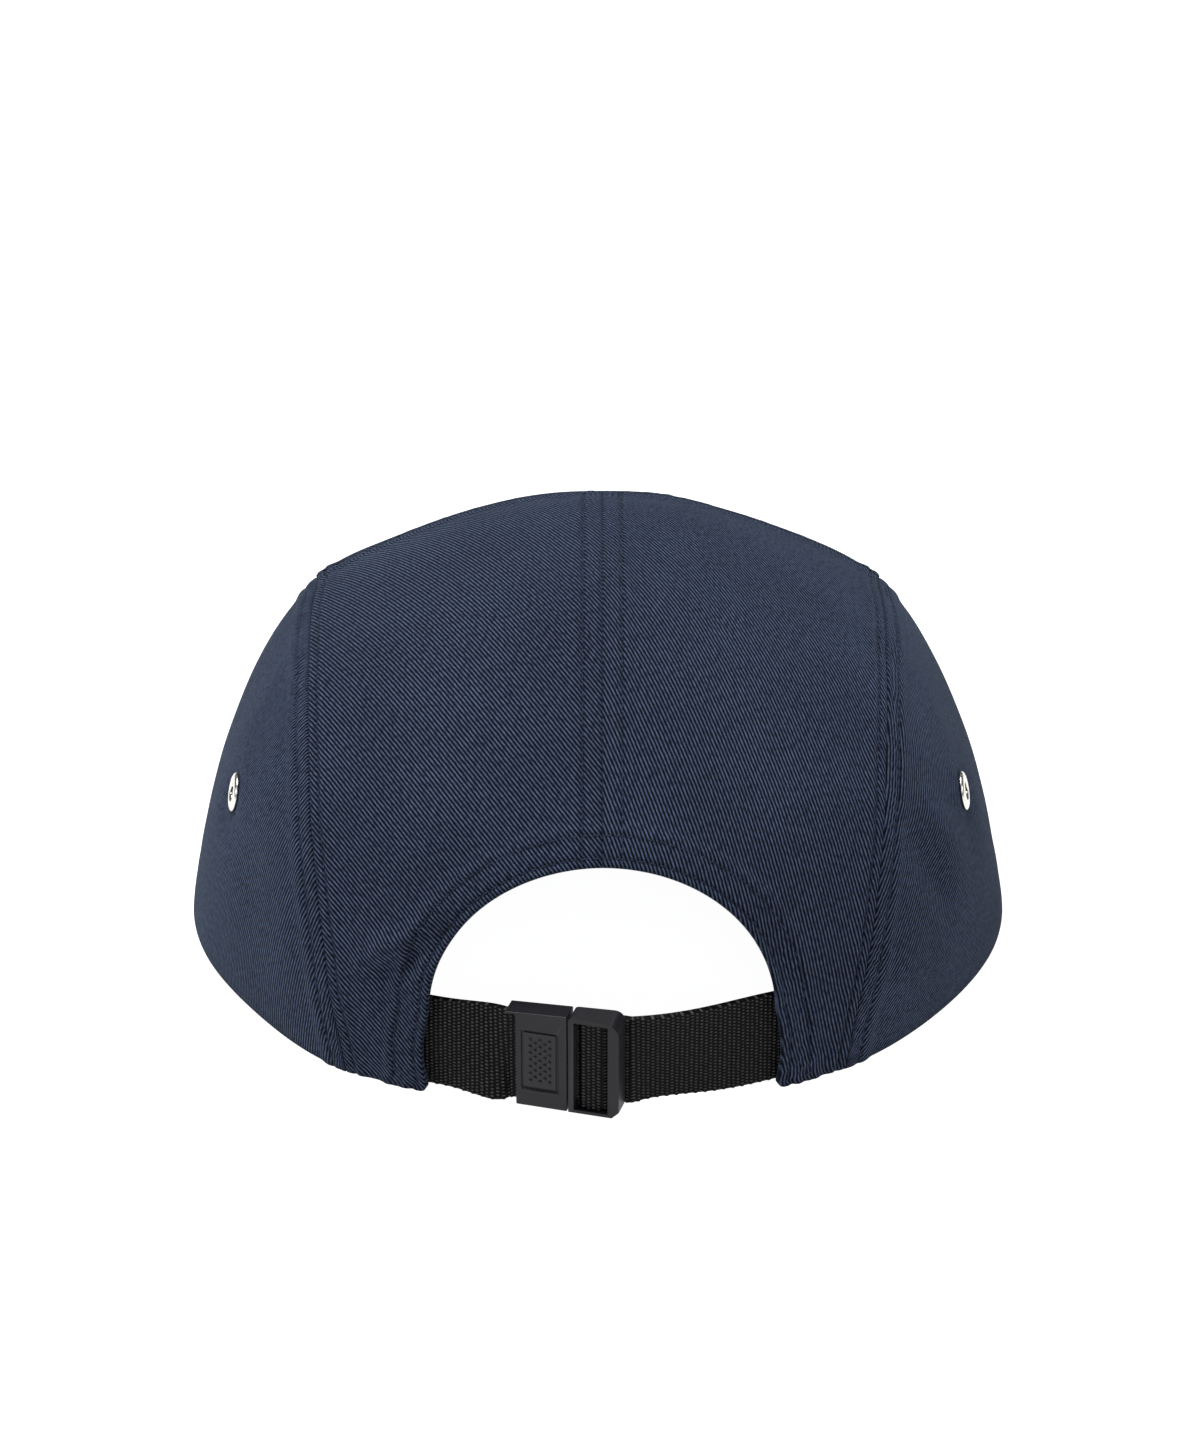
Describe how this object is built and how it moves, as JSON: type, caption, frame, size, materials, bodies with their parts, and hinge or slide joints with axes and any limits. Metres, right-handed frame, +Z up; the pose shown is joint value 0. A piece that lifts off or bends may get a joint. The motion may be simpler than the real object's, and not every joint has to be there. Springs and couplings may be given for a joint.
{
  "type": "five panel cap",
  "caption": "Soft cotton cap with a curved peak, side eyelets, and an arched back opening closed by a webbing strap and clip buckle.",
  "frame": {"origin": "on the surface the cap rests on, under the middle of its bounding box", "axes": "+Y towards the peak, -Y towards the strap, +X towards the wearer's right as seen from behind, +Z up"},
  "size_m": [0.1794, 0.2643, 0.088],
  "materials": {
    "twill": "navy cotton twill, matte, with fine diagonal lines",
    "webbing": "black woven nylon webbing",
    "plastic": "charcoal moulded plastic, satin",
    "nickel": "nickel-plated brass, polished"
  },
  "bodies": {
    "root": {"front_panel": "twill", "back_panel_left": "twill", "back_panel_right": "twill", "side_panel_left": "twill", "side_panel_right": "twill", "peak": "twill", "eyelet_left": "nickel", "eyelet_right": "nickel", "strap_left": "webbing", "strap_right": "webbing", "buckle_socket": "plastic", "buckle_plug": "plastic"}
  },
  "joints": []
}
